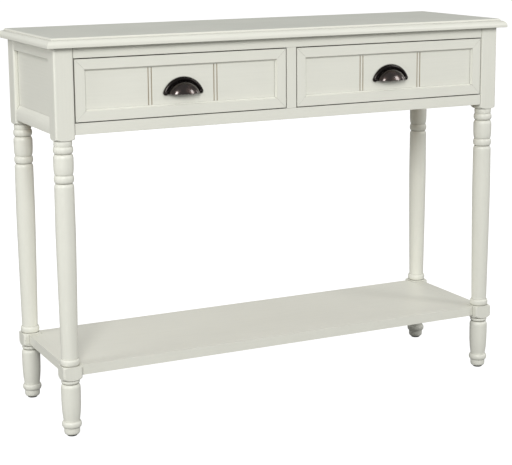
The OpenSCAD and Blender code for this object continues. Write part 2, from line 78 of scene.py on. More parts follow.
class Body(str, Enum):
    """The bodies that pieces ride on."""

    ROOT = "root"
    DRAWER_LEFT = "drawer_left"
    DRAWER_RIGHT = "drawer_right"


class Side(IntEnum):
    """Left or right as seen from the front. The value is the sign of X."""

    LEFT = -1
    RIGHT = 1


class Row(IntEnum):
    """Front or back row of legs. The value is the sign of Y."""

    FRONT = -1
    BACK = 1


class Grain(IntEnum):
    """The axis that the wood's grain runs along."""

    ALONG_X = 0
    ALONG_Y = 1
    ALONG_Z = 2


class Slot(str, Enum):
    """The record's material slots."""

    PAINT = "paint"
    TOP_PAINT = "top_paint"
    BARE_WOOD = "bare_wood"
    PLYWOOD = "plywood"
    PULL = "pull"
    STEEL = "steel"
    GLIDE = "glide"


def chip(red: int, green: int, blue: int) -> Colour:
    """Linear colour of a paint chip.

    Args:
        red: Red on a display scale of 0 to 255.
        green: Green on the same scale.
        blue: Blue on the same scale.

    Returns:
        Linear red, green and blue, and an alpha of 1.
    """

    def straighten(value: int) -> float:
        """Linear value of one channel."""
        share = value / 255
        return share / 12.92 if share <= 0.04045 else ((share + 0.055) / 1.055) ** 2.4

    return (straighten(red), straighten(green), straighten(blue), 1.0)


# ---------- Nodes ----------


class NodeBench:
    """Adds and joins the nodes of one tree."""

    def __init__(self, tree: bpy.types.NodeTree) -> None:
        """Keeps the tree that the nodes go into.

        Args:
            tree: A shader or geometry tree.
        """
        self.tree = tree

    def add(self, kind: str, inputs: dict | None = None, **settings: object) -> bpy.types.Node:
        """Adds a node.

        Args:
            kind: The node's type name.
            inputs: Values or sockets, by input name or by number.
            **settings: The node's own settings.

        Returns:
            The new node.
        """
        node = self.tree.nodes.new(kind)
        for key, value in settings.items():
            setattr(node, key, value)
        for key, value in (inputs or {}).items():
            socket = node.inputs[key] if isinstance(key, int) else self.find(node.inputs, key)
            if isinstance(value, bpy.types.NodeSocket):
                self.tree.links.new(value, socket)
            else:
                socket.default_value = value
        return node

    @staticmethod
    def find(sockets: Iterable[bpy.types.NodeSocket], name: str) -> bpy.types.NodeSocket:
        """The socket in use that has this name or identifier."""
        return next(s for s in sockets if name in (s.name, s.identifier) and s.enabled)

    def math(self, operation: str, *terms: object) -> bpy.types.NodeSocket:
        """Adds a math node.

        Args:
            operation: The node's operation.
            *terms: One to three values or sockets.

        Returns:
            The result's socket.
        """
        return self.add("ShaderNodeMath", dict(enumerate(terms)), operation=operation).outputs[0]


class ShaderBench(NodeBench):
    """Builds one material round a single principled shader."""

    def __init__(self, name: str, colour: Colour) -> None:
        """Starts the material.

        Args:
            name: The material's name.
            colour: The colour that it has in a plain viewport.
        """
        self.material = bpy.data.materials.new(name)
        self.material.use_nodes = True
        self.material.diffuse_color = colour
        super().__init__(self.material.node_tree)
        self.shader = self.tree.nodes["Principled BSDF"]
        self.place = self.add("ShaderNodeTexCoord").outputs["Object"]

    def set(self, **values: object) -> None:
        """Sets the shader's own sockets, with _ for a space in their names."""
        for name, value in values.items():
            self.shader.inputs[name.replace("_", " ")].default_value = value

    def join(self, output: bpy.types.NodeSocket, name: str) -> None:
        """Links a socket into the shader's input of this name."""
        self.tree.links.new(output, self.shader.inputs[name])

    def along(self, grain: Grain, length: float) -> bpy.types.NodeSocket:
        """Coordinates in which a pattern runs out along the grain.

        Args:
            grain: The axis of the grain.
            length: How many times longer the pattern is along the grain than across it.

        Returns:
            The stretched coordinates.
        """
        scale = [1.0, 1.0, 1.0]
        scale[grain] = 1 / length
        return self.add("ShaderNodeMapping", {"Vector": self.place, "Scale": scale}).outputs[0]

    def noise(self, place: bpy.types.NodeSocket, size: float, detail: float = 3.0) -> bpy.types.NodeSocket:
        """Noise from 0 to 1.

        Args:
            place: Its coordinates.
            size: The length of one feature across the grain.
            detail: How much finer detail it has.

        Returns:
            The noise's socket.
        """
        inputs = {"Vector": place, "Scale": 1 / size, "Detail": detail, "Roughness": 0.55}
        return self.add("ShaderNodeTexNoise", inputs).outputs[0]

    def spread(self, value: bpy.types.NodeSocket, low: float, high: float, to: Point) -> bpy.types.NodeSocket:
        """Stretches a range of values to another range and holds it there.

        Args:
            value: The values.
            low: The value that becomes the first of the new range.
            high: The value that becomes the second.
            to: The new range.

        Returns:
            The new values' socket.
        """
        inputs = {"Value": value, "From Min": low, "From Max": high, "To Min": to[0], "To Max": to[1]}
        return self.add("ShaderNodeMapRange", inputs).outputs[0]

    def mix(self, share: bpy.types.NodeSocket, first: object, second: object) -> bpy.types.NodeSocket:
        """Mixes two colours.

        Args:
            share: The second colour's share.
            first: The first colour or its socket.
            second: The second colour or its socket.

        Returns:
            The mixed colour's socket.
        """
        node = self.add("ShaderNodeMix", {"Factor": share, "A": first, "B": second}, data_type="RGBA")
        return self.find(node.outputs, "Result")

    def relief(self, height: bpy.types.NodeSocket, depth: float) -> None:
        """Raises the surface by a height of 0 to 1 times a depth."""
        self.join(self.add("ShaderNodeBump", {"Height": height, "Distance": depth}).outputs[0], "Normal")


class ShapeTree(NodeBench):
    """A geometry tree with named sizes, which turns an object's own mesh into a shape."""

    def __init__(self, name: str, sizes: dict[str, tuple[str, object]]) -> None:
        """Args:
            name: The tree's name.
            sizes: Each input's kind of socket and its value when it isn't set.
        """
        super().__init__(bpy.data.node_groups.new(name, "GeometryNodeTree"))
        face = self.tree.interface
        face.new_socket("Geometry", in_out="INPUT", socket_type="NodeSocketGeometry")
        face.new_socket("Geometry", in_out="OUTPUT", socket_type="NodeSocketGeometry")
        face_sizes = {**sizes, "Finish": ("Material", None)}
        self.identifiers: dict[str, str] = {}
        for label, (kind, value) in face_sizes.items():
            socket = face.new_socket(label, in_out="INPUT", socket_type=f"NodeSocket{kind}")
            if value is not None:
                socket.default_value = value
            self.identifiers[label] = socket.identifier
        self.given = self.tree.nodes.new("NodeGroupInput").outputs

    def end(self, geometry: bpy.types.NodeSocket) -> None:
        """Ends the tree in real geometry that has its finish."""
        real = self.add("GeometryNodeRealizeInstances", {0: geometry}).outputs[0]
        dressed = self.add("GeometryNodeSetMaterial", {"Geometry": real, "Material": self.given["Finish"]})
        self.add("NodeGroupOutput", {0: dressed.outputs[0]})

    def shape(self, obj: bpy.types.Object, finish: bpy.types.Material, **sizes: object) -> None:
        """Shapes an object and leaves it a plain mesh.

        Args:
            obj: The object that holds the tree's starting mesh.
            finish: Its material.
            **sizes: The named inputs, with _ for a space.
        """
        modifier = obj.modifiers.new(self.tree.name, "NODES")
        modifier.node_group = self.tree
        modifier[self.identifiers["Finish"]] = finish
        for label, value in sizes.items():
            modifier[self.identifiers[label.replace("_", " ")]] = value
        settle(obj)


# ---------- Finishes ----------


@dataclass(frozen=True)
class SatinPaint:
    """Satin paint over close wood grain, with painted shade darkening its creases where ambient occlusion
    finds them.
    """

    name: str
    slot: Slot
    colour: Colour
    shade: Colour
    crease_shade: Colour
    crease_shade_share: float = 0.6
    roughness: Point = (0.36, 0.46)
    gloss: float = 0.5
    grain_depth: float = 0.05 * MM
    crease_reach: float = 3 * MM

    def material(self, grain: Grain) -> bpy.types.Material:
        """The paint's material.

        Args:
            grain: The axis of the wood's grain.

        Returns:
            The material.
        """
        bench = ShaderBench(f"{self.name}_{grain.name.lower()}", self.colour)
        cloud = bench.noise(bench.place, 160 * MM, 2.0)
        fibre = bench.noise(bench.along(grain, 26), 3.2 * MM, 4.0)
        pore = bench.noise(bench.along(grain, 34), 1.1 * MM, 2.0)
        stipple = bench.noise(bench.place, 0.9 * MM, 1.0)
        clouding = bench.spread(cloud, 0.35, 0.65, (0, 0.5))
        streaking = bench.spread(fibre, 0.4, 0.7, (0, 0.5))
        tone = bench.math("ADD", clouding, streaking)
        paint = bench.mix(tone, self.colour, self.shade)
        # Painted shade: the crease colour is mixed into the paint wherever ambient occlusion finds a crease,
        # corner or joint.
        open_sky = bench.add(
            "ShaderNodeAmbientOcclusion", {"Distance": self.crease_reach}, samples=8
        ).outputs["AO"]
        crease = bench.spread(open_sky, 0.82, 0.35, (0, self.crease_shade_share))
        bench.join(bench.mix(crease, paint, self.crease_shade), "Base Color")
        bench.join(bench.spread(fibre, 0.3, 0.7, self.roughness), "Roughness")
        pits = bench.spread(pore, 0.56, 0.7, (0, -0.8))
        height = bench.math("ADD", bench.math("ADD", fibre, pits), bench.math("MULTIPLY", stipple, 0.18))
        bench.relief(height, self.grain_depth)
        bench.set(IOR=1.48, Specular_IOR_Level=self.gloss)
        bench.set(Coat_Weight=0.24 * self.gloss, Coat_Roughness=0.3)
        return bench.material


@dataclass(frozen=True)
class PlanedWood:
    """Unpainted planed wood with growth rings and fine fibres."""

    name: str
    slot: Slot
    early: Colour
    late: Colour
    ring: float
    wander: float

    def material(self, grain: Grain) -> bpy.types.Material:
        """The wood's material.

        Args:
            grain: The axis of the wood's grain.

        Returns:
            The material.
        """
        bench = ShaderBench(f"{self.name}_{grain.name.lower()}", self.early)
        lengthways = bench.along(grain, 14)
        rings = bench.add(
            "ShaderNodeTexWave",
            {
                "Vector": lengthways,
                "Scale": 1 / self.ring,
                "Distortion": self.wander,
                "Detail": 3.0,
                "Detail Scale": 0.5,
            },
            bands_direction="DIAGONAL",
        ).outputs["Fac"]
        fibre = bench.noise(bench.along(grain, 40), 1.6 * MM, 4.0)
        figure = bench.math("MULTIPLY_ADD", rings, 0.55, bench.spread(fibre, 0.35, 0.7, (0, 0.45)))
        bench.join(bench.mix(figure, self.early, self.late), "Base Color")
        bench.join(bench.spread(fibre, 0.3, 0.7, (0.55, 0.72)), "Roughness")
        bench.relief(fibre, 0.15 * MM)
        bench.set(IOR=1.45)
        return bench.material


@dataclass(frozen=True)
class GrooveShade:
    """Darker tan in the bottom of a groove, with paler streaks: painted shade in the groove."""

    name: str
    slot: Slot
    colour: Colour
    paler_streak: Colour

    def material(self, grain: Grain) -> bpy.types.Material:
        """The groove shade's material.

        Args:
            grain: The axis that the groove runs along.

        Returns:
            The material.
        """
        bench = ShaderBench(f"{self.name}_{grain.name.lower()}", self.colour)
        streak = bench.noise(bench.along(grain, 9), 4 * MM, 3.0)
        bench.join(bench.mix(bench.spread(streak, 0.35, 0.7, (0, 1)), self.colour, self.paler_streak), "Base Color")
        bench.join(bench.spread(streak, 0.3, 0.7, (0.4, 0.6)), "Roughness")
        bench.relief(streak, 0.1 * MM)
        return bench.material


@dataclass(frozen=True)
class DarkBronze:
    """Dark lacquered bronze, browner where hands have rubbed it, with its colour painted near black low on
    the rim as a painted dark reflection.
    """

    name: str
    slot: Slot
    colour: Colour
    rubbed: Colour
    roughness: Point
    panel_y: float
    rim: Point = (6.5 * MM, 10.5 * MM)
    rim_shade: float = 0.35
    lacquer: Point = (0.25, 0.8)

    def material(self) -> bpy.types.Material:
        """The casting's material."""
        bench = ShaderBench(self.name, self.colour)
        patina = bench.noise(bench.place, 11 * MM, 4.0)
        grit = bench.noise(bench.place, 0.8 * MM, 2.0)
        along_y = bench.add("ShaderNodeSeparateXYZ", {"Vector": bench.place}).outputs["Y"]
        proud = bench.math("SUBTRACT", self.panel_y, along_y)
        worn = bench.mix(bench.spread(patina, 0.45, 0.75, (0, 0.8)), self.colour, self.rubbed)
        # Painted reflection: low on the rim, near the panel, the colour is darkened towards black.
        black = (*(self.rim_shade * share for share in self.colour[:3]), 1.0)
        bench.join(bench.mix(bench.spread(proud, *self.rim, (0, 1)), black, worn), "Base Color")
        bench.join(bench.spread(patina, 0.3, 0.7, self.roughness), "Roughness")
        bench.join(bench.spread(proud, *self.rim, self.lacquer), "Coat Weight")
        bench.relief(grit, 0.03 * MM)
        bench.set(Metallic=0.9, Coat_Roughness=0.12)
        return bench.material


@dataclass(frozen=True)
class ZincSteel:
    """Zinc-plated steel with a fine bright grain."""

    name: str
    slot: Slot
    colour: Colour
    dull: Colour

    def material(self) -> bpy.types.Material:
        """The plating's material."""
        bench = ShaderBench(self.name, self.colour)
        spangle = bench.noise(bench.place, 1.8 * MM, 3.0)
        bench.join(bench.mix(bench.spread(spangle, 0.4, 0.7, (0, 1)), self.colour, self.dull), "Base Color")
        bench.join(bench.spread(spangle, 0.3, 0.7, (0.26, 0.42)), "Roughness")
        bench.relief(spangle, 0.03 * MM)
        bench.set(Metallic=1.0)
        return bench.material


@dataclass(frozen=True)
class BlackPlastic:
    """Moulded black plastic with a faint texture and dust."""

    name: str
    slot: Slot
    colour: Colour
    dusty: Colour

    def material(self) -> bpy.types.Material:
        """The plastic's material."""
        bench = ShaderBench(self.name, self.colour)
        dust = bench.noise(bench.place, 5 * MM, 3.0)
        texture = bench.noise(bench.place, 0.5 * MM, 1.0)
        bench.join(bench.mix(bench.spread(dust, 0.5, 0.8, (0, 1)), self.colour, self.dusty), "Base Color")
        bench.join(bench.spread(texture, 0.3, 0.7, (0.42, 0.6)), "Roughness")
        bench.relief(texture, 0.06 * MM)
        return bench.material


# Grey-brown that the paints mix into their creases: painted shade.
CREASE_SHADE_GREY = chip(96, 91, 78)
BODY_PAINT = SatinPaint("body_paint", Slot.PAINT, chip(228, 228, 217), chip(224, 224, 213), CREASE_SHADE_GREY)
# A darker copy of the body paint for the flat top: painted shade, since the top takes less light than the
# front.
TOP_PAINT = SatinPaint(
    "top_paint",
    Slot.TOP_PAINT,
    chip(210, 211, 201),
    chip(202, 204, 194),
    CREASE_SHADE_GREY,
    roughness=(0.46, 0.56),
    gloss=0.2,
)
# Darker tan for the bottoms of the panel grooves: painted shade in the grooves.
GROOVE_SHADE = GrooveShade("groove_shade", Slot.PAINT, chip(172, 160, 138), chip(196, 186, 166))
PINE = PlanedWood("pine", Slot.BARE_WOOD, chip(226, 198, 152), chip(196, 154, 104), 26 * MM, 5.0)
PLY = PlanedWood("ply", Slot.PLYWOOD, chip(228, 205, 166), chip(205, 172, 126), 70 * MM, 9.0)
PANEL_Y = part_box("drawer_left_pull")[1].y
BRONZE = DarkBronze("dark_bronze", Slot.PULL, chip(56, 48, 45), chip(80, 64, 58), (0.2, 0.3), PANEL_Y)
ZINC = ZincSteel("zinc_steel", Slot.STEEL, chip(190, 190, 192), chip(150, 151, 156))
NYLON = BlackPlastic("black_nylon", Slot.GLIDE, chip(22, 22, 23), chip(52, 51, 49))


class Palette:
    """Makes each finish once and hands it out again."""

    made: ClassVar[dict[tuple, bpy.types.Material]] = {}

    @classmethod
    def get(cls, finish: object, grain: Grain | None = None) -> bpy.types.Material:
        """The material of a finish.

        Args:
            finish: One of the finishes above.
            grain: The axis of the grain, for a finish that has one.

        Returns:
            The material.
        """
        key = (finish.name, grain)
        if key not in cls.made:
            cls.made[key] = finish.material() if grain is None else finish.material(grain)
        return cls.made[key]


# ---------- Bench work ----------


def new_object(name: str, mesh: bpy.types.Mesh) -> bpy.types.Object:
    """Puts a mesh in the scene as an object at the origin."""
    obj = bpy.data.objects.new(name, mesh)
    bpy.context.scene.collection.objects.link(obj)
    return obj


def mesh_of(name: str, points: Sequence, edges: Sequence = (), faces: Sequence = ()) -> bpy.types.Mesh:
    """A mesh from its points, edges and faces."""
    mesh = bpy.data.meshes.new(name)
    mesh.from_pydata(points, edges, faces)
    return mesh


def profile_mesh(name: str, outline: Sequence[Point]) -> bpy.types.Mesh:
    """A lathe's starting mesh: an outline of radius and height, as a chain of edges."""
    points = [(radius, 0.0, height) for radius, height in outline]
    return mesh_of(name, points, [(i, i + 1) for i in range(len(points) - 1)])


def settle(obj: bpy.types.Object) -> None:
    """Makes an object's modified shape its own plain mesh."""
    depsgraph = bpy.context.evaluated_depsgraph_get()
    mesh = bpy.data.meshes.new_from_object(
        obj.evaluated_get(depsgraph), preserve_all_data_layers=True, depsgraph=depsgraph
    )
    before = obj.data
    obj.modifiers.clear()
    obj.data = mesh
    mesh.name = obj.name
    bpy.data.meshes.remove(before)


def face_outwards(obj: bpy.types.Object) -> None:
    """Welds a closed mesh and turns its faces outwards."""
    work = bmesh.new()
    work.from_mesh(obj.data)
    bmesh.ops.remove_doubles(work, verts=work.verts, dist=WELD)
    bmesh.ops.recalc_face_normals(work, faces=work.faces)
    work.to_mesh(obj.data)
    work.free()


def block_mesh(name: str, low: Vector, high: Vector) -> bpy.types.Mesh:
    """A box between two opposite corners."""
    mesh = bpy.data.meshes.new(name)
    work = bmesh.new()
    bmesh.ops.create_cube(work, size=1.0)
    bmesh.ops.scale(work, vec=high - low, verts=work.verts)
    bmesh.ops.translate(work, vec=(high + low) / 2, verts=work.verts)
    work.to_mesh(mesh)
    work.free()
    return mesh


def saw(work: bmesh.types.BMesh, place: Vector, waste: Vector) -> None:
    """Saws through closed solids and caps the cut.

    Args:
        work: The solids.
        place: A point on the cut.
        waste: The direction of the side that is thrown away.
    """
    everything = [*work.verts, *work.edges, *work.faces]
    bmesh.ops.bisect_plane(work, geom=everything, dist=WELD, plane_co=place, plane_no=waste, clear_outer=True)
    bmesh.ops.holes_fill(work, edges=[e for e in work.edges if e.is_boundary], sides=0)


def mortise(obj: bpy.types.Object, tools: Iterable[bpy.types.Object]) -> None:
    """Cuts sockets out of an object and clears their solids away.

    Args:
        obj: The object to change.
        tools: The sockets' closed solids.
    """
    for tool in tools:
        cut = obj.modifiers.new("cut", "BOOLEAN")
        cut.object = tool
        cut.operation = "DIFFERENCE"
        cut.solver = "EXACT"
        settle(obj)
        bpy.data.objects.remove(tool)


def eased_copy(node: str, name: str, edge: float) -> bpy.types.Object:
    """A copy of a frame board whose edges are sanded round.

    Args:
        node: The frame node.
        name: The new piece's name.
        edge: The width of the sanded edge.

    Returns:
        The piece, without a finish.
    """
    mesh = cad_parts[node].data.copy()
    mesh.materials.clear()
    for attribute in [a for a in mesh.attributes if a.name == "custom_normal"]:
        mesh.attributes.remove(attribute)
    piece = new_object(name, mesh)
    work = bmesh.new()
    work.from_mesh(mesh)
    bmesh.ops.remove_doubles(work, verts=work.verts, dist=WELD)
    bmesh.ops.dissolve_limit(work, angle_limit=math.radians(0.5), verts=work.verts, edges=work.edges)
    work.to_mesh(mesh)
    work.free()
    mesh.shade_smooth()
    bevel = piece.modifiers.new("sanded_edge", "BEVEL")
    bevel.width = edge
    bevel.segments = 3
    bevel.limit_method = "ANGLE"
    bevel.angle_limit = math.radians(35)
    shading = piece.modifiers.new("shading", "WEIGHTED_NORMAL")
    shading.keep_sharp = True
    settle(piece)
    return piece


def fit(piece: bpy.types.Object, body: Body, slot: Slot, *nodes: str) -> None:
    """Fixes a finished piece to its body.

    Args:
        piece: The piece.
        body: The body that it rides on.
        slot: The record's slot for its finish; not used.
        *nodes: The frame nodes that it stands for.
    """
    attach(piece, body.value)
    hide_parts(*nodes)
    LOG.info("%-34s %6d faces on %s", piece.name, len(piece.data.polygons), body.value)


def arc(centre: Point, reach: Point, start: float, end: float, steps: int = 12) -> list[Point]:
    """Points on an arc of an ellipse.

    Args:
        centre: The ellipse's centre.
        reach: Its two radii.
        start: The first angle in degrees.
        end: The last angle in degrees.
        steps: How many steps the arc takes.

    Returns:
        The points, both ends included.
    """
    angles = [math.radians(start + (end - start) * i / steps) for i in range(steps + 1)]
    return [(centre[0] + reach[0] * math.cos(a), centre[1] + reach[1] * math.sin(a)) for a in angles]


def bead(low: float, high: float, inner: float, outer: float) -> list[Point]:
    """Points of a half-round bead between two heights."""
    return arc((inner, (low + high) / 2), (outer - inner, (high - low) / 2), -90, 90, 18)


@dataclass(frozen=True)
class Board:
    """One board of the table, in its finish."""

    node: str
    finish: object
    grain: Grain
    edge: float = 0.7 * MM

    def build(self, body: Body = Body.ROOT) -> bpy.types.Object:
        """Makes the board.

        Args:
            body: The body that it rides on.

        Returns:
            The finished board.
        """
        piece = eased_copy(self.node, f"{self.node}_board", self.edge)
        piece.data.materials.clear()
        piece.data.materials.append(Palette.get(self.finish, self.grain))
        fit(piece, body, self.finish.slot, self.node)
        return piece


# ---------- Geometry trees ----------


def lathe_tree() -> ShapeTree:
    """A lathe: turns a profile of radius and height out of square stock.

    Returns:
        The tree. Its starting mesh is the profile, with the radius in X and the height in Z. No
        point lies outside the stock, so a profile wider than the stock leaves it square.
    """
    sizes = {
        "Segments": ("Int", 128),
        "Stock half width": ("Float", 20 * MM),
        "Stock edge radius": ("Float", 4 * MM),
        "Centre": ("Vector", (0.0, 0.0, 0.0)),
    }
    tree = ShapeTree("Lathe", sizes)
    given, math_of = tree.given, tree.math
    rows = tree.add("GeometryNodeAttributeDomainSize", {0: given["Geometry"]}, component="MESH").outputs[0]
    columns = math_of("ADD", given["Segments"], 1.0)
    grid = tree.add("GeometryNodeMeshGrid", {"Vertices X": rows, "Vertices Y": columns}).outputs["Mesh"]
    index = tree.add("GeometryNodeInputIndex").outputs[0]
    row = math_of("FLOOR", math_of("DIVIDE", math_of("ADD", index, 0.5), columns))
    column = math_of("SUBTRACT", index, math_of("MULTIPLY", row, columns))
    turn = math_of("MULTIPLY", math_of("DIVIDE", column, given["Segments"]), math.tau)
    position = tree.add("GeometryNodeInputPosition").outputs[0]
    sample = tree.add(
        "GeometryNodeSampleIndex",
        {"Geometry": given["Geometry"], "Value": position, "Index": row},
        data_type="FLOAT_VECTOR",
    )
    profile = tree.add("ShaderNodeSeparateXYZ", {0: tree.find(sample.outputs, "Value")}).outputs
    cosine, sine = math_of("COSINE", turn), math_of("SINE", turn)
    half, edge = given["Stock half width"], given["Stock edge radius"]
    widest = math_of("MAXIMUM", math_of("ABSOLUTE", cosine), math_of("ABSOLUTE", sine))
    flat = math_of("DIVIDE", half, widest)
    inset = math_of("SUBTRACT", half, edge)
    diagonal = math_of("MULTIPLY", inset, math.sqrt(2))
    off = math_of("SUBTRACT", math_of("MODULO", turn, math.pi / 2), math.pi / 4)
    across = math_of("MULTIPLY", diagonal, math_of("SINE", off))
    rest = math_of("SUBTRACT", math_of("MULTIPLY", edge, edge), math_of("MULTIPLY", across, across))
    bulge = math_of("SQRT", math_of("MAXIMUM", rest, 0.0))
    corner = math_of("MULTIPLY_ADD", diagonal, math_of("COSINE", off), bulge)
    corner_end = math_of("SUBTRACT", math_of("ARCTAN2", half, inset), math.pi / 4)
    in_corner = math_of("LESS_THAN", math_of("ABSOLUTE", off), corner_end)
    stock = math_of("MULTIPLY_ADD", in_corner, math_of("SUBTRACT", corner, flat), flat)
    radius = math_of("MINIMUM", profile[0], stock)
    place = tree.add(
        "ShaderNodeCombineXYZ",
        {0: math_of("MULTIPLY", radius, cosine), 1: math_of("MULTIPLY", radius, sine), 2: profile[2]},
    ).outputs[0]
    moved = tree.add("ShaderNodeVectorMath", {0: place, 1: given["Centre"]}, operation="ADD").outputs[0]
    turned = tree.add("GeometryNodeSetPosition", {"Geometry": grid, "Position": moved}).outputs[0]
    closed = tree.add("GeometryNodeMergeByDistance", {"Geometry": turned, "Distance": WELD}).outputs[0]
    tree.end(closed)
    return tree


def screw_tree() -> ShapeTree:
    """Sets a cross-recessed round-head screw at every point of the starting mesh.

    Returns:
        The tree. A screw points along +Z before it is turned, with its head's flat side at its point.
    """
    sizes = {
        "Head radius": ("Float", 4 * MM),
        "Head height": ("Float", 3 * MM),
        "Shank radius": ("Float", 2 * MM),
        "Shank length": ("Float", 20 * MM),
        "Turn": ("Rotation", (0.0, 0.0, 0.0)),
    }
    tree = ShapeTree("Screws", sizes)
    given, math_of = tree.given, tree.math

    def vector(x: object, y: object, z: object) -> bpy.types.NodeSocket:
        """A vector from three values."""
        return tree.add("ShaderNodeCombineXYZ", {0: x, 1: y, 2: z}).outputs[0]

    def moved(mesh: bpy.types.NodeSocket, **places: object) -> bpy.types.NodeSocket:
        """A mesh that is moved, turned or scaled."""
        return tree.add("GeometryNodeTransform", {"Geometry": mesh, **places}).outputs[0]

    radius, height = given["Head radius"], given["Head height"]
    ball = tree.add("GeometryNodeMeshUVSphere", {"Segments": 32, "Rings": 16, "Radius": 1.0}).outputs["Mesh"]
    dome = moved(ball, Scale=vector(radius, radius, height))
    wide = math_of("MULTIPLY", radius, 3.0)
    above = tree.add("GeometryNodeMeshCube", {"Size": vector(wide, wide, math_of("MULTIPLY", height, 2.0))})
    upper = moved(above.outputs["Mesh"], Translation=vector(0.0, 0.0, height))
    head = tree.add("GeometryNodeMeshBoolean", {"Mesh 2": dome}, operation="INTERSECT", solver="EXACT")
    tree.tree.links.new(upper, tree.find(head.inputs, "Mesh 2"))
    slot = tree.add(
        "GeometryNodeMeshCube",
        {"Size": vector(math_of("MULTIPLY", radius, 0.26), math_of("MULTIPLY", radius, 1.15), height)},
    ).outputs["Mesh"]
    lift = math_of("MULTIPLY", height, 0.95)
    recess = tree.add(
        "GeometryNodeMeshBoolean", {"Mesh 1": head.outputs[0]}, operation="DIFFERENCE", solver="EXACT"
    )
    for turn in (0.0, math.pi / 2):
        blade = moved(slot, Translation=vector(0.0, 0.0, lift), Rotation=(0.0, 0.0, turn))
        tree.tree.links.new(blade, tree.find(recess.inputs, "Mesh 2"))
    length = given["Shank length"]
    shank = tree.add(
        "GeometryNodeMeshCylinder", {"Vertices": 24, "Radius": given["Shank radius"], "Depth": length}
    ).outputs["Mesh"]
    sunk = moved(shank, Translation=vector(0.0, 0.0, math_of("MULTIPLY", length, -0.5)))
    screw = tree.add("GeometryNodeJoinGeometry", {0: recess.outputs[0]})
    tree.tree.links.new(sunk, screw.inputs[0])
    points = tree.add("GeometryNodeMeshToPoints", {0: given["Geometry"]}).outputs[0]
    inputs = {"Points": points, "Instance": screw.outputs[0], "Rotation": given["Turn"]}
    tree.end(tree.add("GeometryNodeInstanceOnPoints", inputs).outputs[0])
    return tree


# ---------- Fastenings ----------


@dataclass(frozen=True)
class ScrewSet:
    """A grid of screws that stand along one axis, in place of one frame node."""

    node: str
    columns: int
    rows: int
    plane: tuple[int, int]
    head_axis: Vector
    head_radius: float = 4 * MM
    head_height: float = 3 * MM
    shank_radius: float = 2 * MM

    def places(self) -> list[Vector]:
        """The points where the heads meet the wood."""
        low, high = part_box(self.node)
        axis = 3 - sum(self.plane)
        sign = 1 if self.head_axis[axis] > 0 else -1
        seat = (high[axis] if sign > 0 else low[axis]) - sign * self.head_height
        points = []
        for i in range(self.columns):
            for j in range(self.rows):
                point = Vector((0.0, 0.0, 0.0))
                point[axis] = seat
                for number, count, along in ((i, self.columns, self.plane[0]), (j, self.rows, self.plane[1])):
                    first, last = low[along] + self.head_radius, high[along] - self.head_radius
                    share = number / (count - 1) if count > 1 else 0.5
                    point[along] = first + (last - first) * share
                points.append(point)
        return points

    def build(self, tree: ShapeTree, body: Body) -> None:
        """Sets the screws.

        Args:
            tree: The screws' geometry tree.
            body: The body that they ride on.
        """
        low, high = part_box(self.node)
        axis = 3 - sum(self.plane)
        name = f"{self.node}_set"
        piece = new_object(name, mesh_of(name, self.places()))
        turn = Vector((0.0, 0.0, 1.0)).rotation_difference(self.head_axis).to_euler()
        tree.shape(
            piece,
            Palette.get(ZINC),
            Head_radius=self.head_radius,
            Head_height=self.head_height,
            Shank_radius=self.shank_radius,
            Shank_length=high[axis] - low[axis] - self.head_height,
            Turn=list(turn),
        )
        piece.data.shade_smooth()
        piece.data.set_sharp_from_angle(angle=math.radians(40))
        fit(piece, body, ZINC.slot, self.node)


# ---------- Table frame ----------


@dataclass
class TopBoard:
    """The moulded top, whose flat is duller than its edge and painted darker as painted shade, and the screws
    that hold it.
    """

    edge: float = 0.5 * MM
    flat: float = 0.03 * MM

    def build(self, screws: ShapeTree) -> None:
        """Makes the top.

        Args:
            screws: The screws' geometry tree.
        """
        top = Board("table_top", TOP_PAINT, Grain.ALONG_X, self.edge).build()
        top.data.materials.append(Palette.get(BODY_PAINT, Grain.ALONG_X))
        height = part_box("table_top")[1].z
        # The flat takes the darker top paint, which is painted shade. The moulded edge keeps the body paint.
        for polygon in top.data.polygons:
            if polygon.center.z < height - self.flat:
                polygon.material_index = 1
        ScrewSet("top_screws", 3, 3, (0, 1), Vector((0, 0, -1))).build(screws, Body.ROOT)


